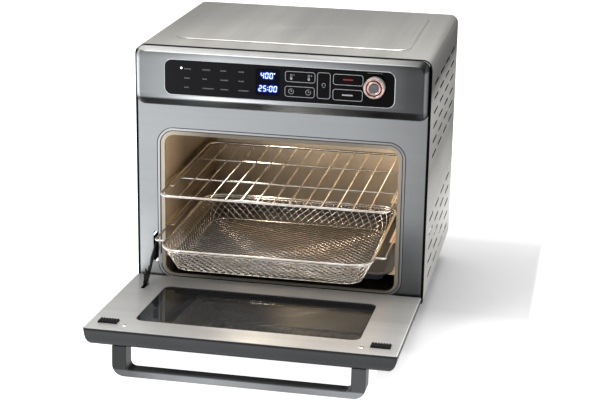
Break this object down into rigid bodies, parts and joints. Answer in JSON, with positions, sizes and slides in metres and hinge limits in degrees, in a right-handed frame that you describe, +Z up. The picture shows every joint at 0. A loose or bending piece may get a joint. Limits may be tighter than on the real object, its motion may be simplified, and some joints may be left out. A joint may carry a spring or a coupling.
{
  "type": "toaster oven",
  "caption": "Countertop air-fryer toaster oven with its door open, a slide-out pan, mesh basket and wire rack, a dark control panel with a knob and a bar handle on the door.",
  "frame": {"origin": "middle of the outline seen from above with the door open, on the plane of the soles", "axes": "+Z up; the door faces -Y; +X to the right of someone facing the door"},
  "size_m": [0.4, 0.576, 0.3812],
  "materials": {
    "casing_steel": "brushed, satin",
    "cover_steel": "galvanised, matt",
    "front_steel": "brushed, satin",
    "bezel_steel": "satin metallic",
    "cavity_steel": "satin, warm tinted",
    "panel_glass": "black, glossy",
    "display": "dark filter",
    "board": "green laminate",
    "part_plastic": "black, matt",
    "motor_steel": "zinc, satin",
    "fan_alloy": "mill finish",
    "heater_steel": "heat darkened",
    "white_ceramic": "matt",
    "lamp_glass": "frosted",
    "foot_plastic": "black, matt",
    "sole_rubber": "matt",
    "bracket_steel": "zinc, satin",
    "bright_steel": "polished",
    "door_frame_grey": "dark grey, satin",
    "door_panel_steel": "brushed, satin",
    "window_glass": "tinted",
    "handle_metal": "dark grey, satin",
    "bumper_rubber": "matt, ribbed",
    "arm_steel": "black oxide",
    "pan_enamel": "dark non-stick",
    "wire_chrome": "polished wire",
    "mesh_chrome": "woven wire mesh",
    "tray_steel": "satin",
    "knob_metal": "rose tinted, satin",
    "knob_dark": "dark, satin"
  },
  "bodies": {
    "body": {"outer_casing": "casing_steel", "rear_cover": "cover_steel", "base_plate": "cover_steel", "front_frame": "front_steel", "cavity_lip": "cavity_steel", "cavity_left_wall": "cavity_steel", "cavity_right_wall": "cavity_steel", "cavity_roof": "cavity_steel", "cavity_floor": "cavity_steel", "cavity_back": "cavity_steel", "left_rails": "cavity_steel", "right_rails": "cavity_steel", "fan_guard": "cavity_steel", "fan_housing": "motor_steel", "fan_motor": "motor_steel", "upper_element": "heater_steel", "lower_elements": "heater_steel", "element_insulators": "white_ceramic", "control_bezel": "bezel_steel", "control_glass": "panel_glass", "display_module": "display", "control_board": "board", "encoder": "motor_steel", "power_board": "board", "oven_lamp": "white_ceramic", "lamp_lens": "lamp_glass", "temperature_probe": "bright_steel", "thermal_cutoff": "part_plastic", "door_switch": "part_plastic", "foot_front_left": "foot_plastic", "foot_front_right": "foot_plastic", "foot_rear_left": "foot_plastic", "foot_rear_right": "foot_plastic", "foot_soles": "sole_rubber", "hinge_bracket_left": "bracket_steel", "hinge_bracket_right": "bracket_steel", "cord_gland": "part_plastic", "cover_screws": "bright_steel"},
    "door": {"door_frame": "door_frame_grey", "door_inner_panel": "door_panel_steel", "inner_glass": "window_glass", "outer_glass": "window_glass", "window_trim": "bright_steel", "handle": "handle_metal", "handle_screws": "bright_steel", "bumper_left": "bumper_rubber", "bumper_right": "bumper_rubber", "hinge_pins": "bracket_steel", "arm_bracket": "arm_steel", "arm_pin": "bright_steel"},
    "arm": {"hinge_arm": "arm_steel"},
    "pan": {"baking_pan": "pan_enamel"},
    "basket": {"basket_tub": "mesh_chrome", "basket_frame": "wire_chrome"},
    "rack": {"rack_frame": "wire_chrome", "rack_bars": "wire_chrome"},
    "tray": {"crumb_tray": "tray_steel"},
    "fan": {"fan_wheel": "fan_alloy"},
    "knob": {"knob_body": "knob_metal", "knob_cap": "knob_dark"}
  },
  "joints": [
    {"name": "door_hinge", "type": "hinge", "parent": "body", "child": "door", "pos_m": [0, -0.05497, 0.048], "axis": [-1, 0, 0], "range_deg": [0, 87]},
    {"name": "arm_pivot", "type": "hinge", "parent": "door", "child": "arm", "pos_m": [-0.1742, -0.095, 0.06001], "axis": [-1, 0, 0], "range_deg": [-83, 0]},
    {"name": "rack_slide", "type": "slide", "parent": "body", "child": "rack", "axis": [0, 1, 0], "range_m": [0, 0.0471]},
    {"name": "basket_slide", "type": "slide", "parent": "body", "child": "basket", "axis": [0, 1, 0], "range_m": [0, 0.1041]},
    {"name": "pan_slide", "type": "slide", "parent": "body", "child": "pan", "axis": [0, 1, 0], "range_m": [-0.229, 0]},
    {"name": "tray_slide", "type": "slide", "parent": "body", "child": "tray", "axis": [0, 1, 0], "range_m": [0, 0.27]},
    {"name": "knob_turn", "type": "hinge", "parent": "body", "child": "knob", "pos_m": [0.129, -0.06497, 0.346], "axis": [0, -1, 0], "continuous": true},
    {"name": "fan_spin", "type": "hinge", "parent": "body", "child": "fan", "pos_m": [0, 0.10703, 0.289], "axis": [0, 0, 1], "continuous": true}
  ],
  "couplings": [
    {"joint": "arm_pivot", "follows": "door_hinge", "ratio": -0.95},
    {"joint": "rack_slide", "follows": "door_hinge", "m_per_rad": 0.030952},
    {"joint": "basket_slide", "follows": "door_hinge", "m_per_rad": 0.068491}
  ]
}
